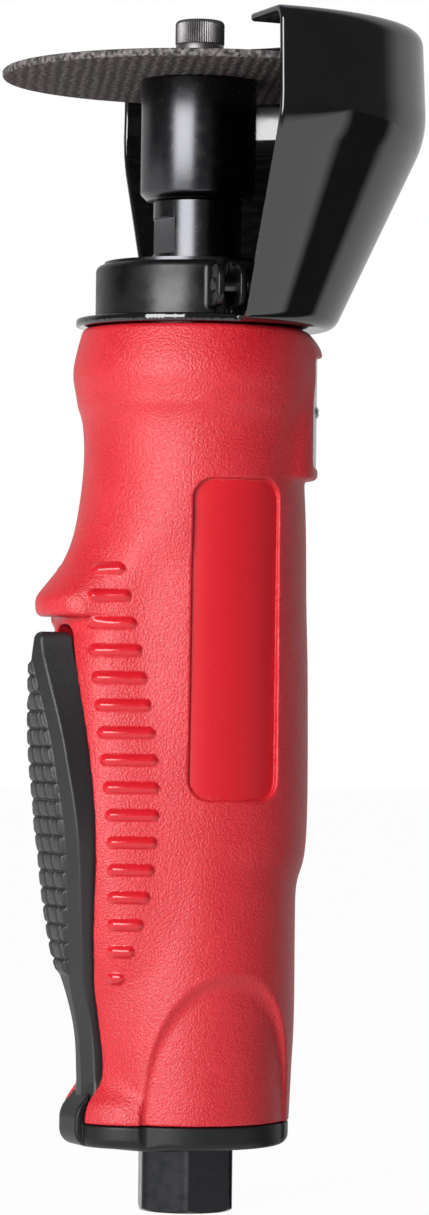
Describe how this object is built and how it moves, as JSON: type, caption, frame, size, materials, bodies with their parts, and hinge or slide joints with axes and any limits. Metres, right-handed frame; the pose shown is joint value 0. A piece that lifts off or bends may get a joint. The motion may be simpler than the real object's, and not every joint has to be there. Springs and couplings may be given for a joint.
{
  "type": "pneumatic cut off tool",
  "caption": "In-line air cut-off tool: red moulded grip with a black throttle lever, vane motor, black oxide arbor with a cutting disc, and a half-round gloss black guard.",
  "frame": {"origin": "centre of the air inlet's end face, on the spindle axis", "axes": "+Z along the spindle from the air inlet to the disc, -X towards the throttle lever, +X towards the guard and the palm of the hand"},
  "size_m": [0.0816, 0.0869, 0.2294],
  "materials": {
    "red_composite": "finely textured moulded composite",
    "black_plastic": "satin moulded plastic",
    "black_gloss_paint": "gloss baked paint",
    "black_oxide_steel": "turned black oxide steel",
    "abrasive": "resin bonded grit with glass mesh",
    "bright_metal": "plain satin metal",
    "hard_steel": "ground steel",
    "cast_aluminium": "machined casting",
    "brass_fitting": "turned brass",
    "seal_rubber": "moulded rubber",
    "felt": "pressed felt",
    "phenolic": "phenolic laminate"
  },
  "bodies": {
    "grip": {"grip": "red_composite", "end_cap": "black_plastic", "inlet_bushing": "black_oxide_steel", "inlet_screen": "bright_metal", "inlet_seal": "seal_rubber", "muffler_pad_near": "felt", "muffler_pad_far": "felt", "side_plate": "bright_metal", "side_plate_screw_near": "bright_metal", "side_plate_screw_far": "bright_metal", "lever_pin": "hard_steel", "valve_bushing": "brass_fitting", "valve_spring": "hard_steel", "rear_end_plate": "cast_aluminium", "rear_outer_race": "hard_steel", "cylinder": "hard_steel", "cylinder_dowel": "hard_steel", "front_end_plate": "cast_aluminium", "front_outer_race": "hard_steel", "nose_nut": "black_oxide_steel"},
    "spindle": {"rotor": "hard_steel", "vane_1": "phenolic", "vane_2": "phenolic", "vane_3": "phenolic", "vane_4": "phenolic", "vane_5": "phenolic", "rotor_clip": "black_oxide_steel", "rear_inner_race": "hard_steel", "front_inner_race": "hard_steel", "spindle": "black_oxide_steel", "wheel_arbor": "black_oxide_steel", "cutting_disc": "abrasive", "outer_flange": "black_oxide_steel", "lock_washer": "black_oxide_steel", "disc_screw": "black_oxide_steel"},
    "front_ball_set": {"front_balls": "hard_steel", "front_cage": "brass_fitting"},
    "rear_ball_set": {"rear_balls": "hard_steel", "rear_cage": "brass_fitting"},
    "lever": {"throttle_lever": "black_plastic"},
    "valve": {"valve_stem": "hard_steel", "valve_seal": "seal_rubber"},
    "guard": {"guard_hood": "black_gloss_paint", "guard_collar": "black_gloss_paint", "clamp_screw": "black_oxide_steel"}
  },
  "joints": [
    {"name": "spindle_spin", "type": "hinge", "parent": "grip", "child": "spindle", "pos_m": [0, 0, 0.15], "axis": [0, 0, 1], "continuous": true},
    {"name": "front_balls_roll", "type": "hinge", "parent": "grip", "child": "front_ball_set", "pos_m": [0, 0, 0.1526], "axis": [0, 0, 1], "continuous": true},
    {"name": "rear_balls_roll", "type": "hinge", "parent": "grip", "child": "rear_ball_set", "pos_m": [0, 0, 0.1005], "axis": [0, 0, 1], "continuous": true},
    {"name": "lever_press", "type": "hinge", "parent": "grip", "child": "lever", "pos_m": [-0.0176, 0, 0.0218], "axis": [0, 1, 0], "range_deg": [0, 5], "stiffness_Nm_per_rad": 4, "springref_deg": -2.86},
    {"name": "valve_push", "type": "slide", "parent": "grip", "child": "valve", "axis": [1, 0, 0], "range_m": [0, 0.0026], "deforming": ["valve_spring"]},
    {"name": "guard_swivel", "type": "hinge", "parent": "grip", "child": "guard", "pos_m": [0, 0, 0.1763], "axis": [0, 0, 1], "range_deg": [-180, 180]}
  ],
  "couplings": [
    {"joint": "front_balls_roll", "follows": "spindle_spin", "ratio": 0.396},
    {"joint": "rear_balls_roll", "follows": "spindle_spin", "ratio": 0.3787},
    {"joint": "valve_push", "follows": "lever_press", "m_per_rad": 0.0285}
  ]
}
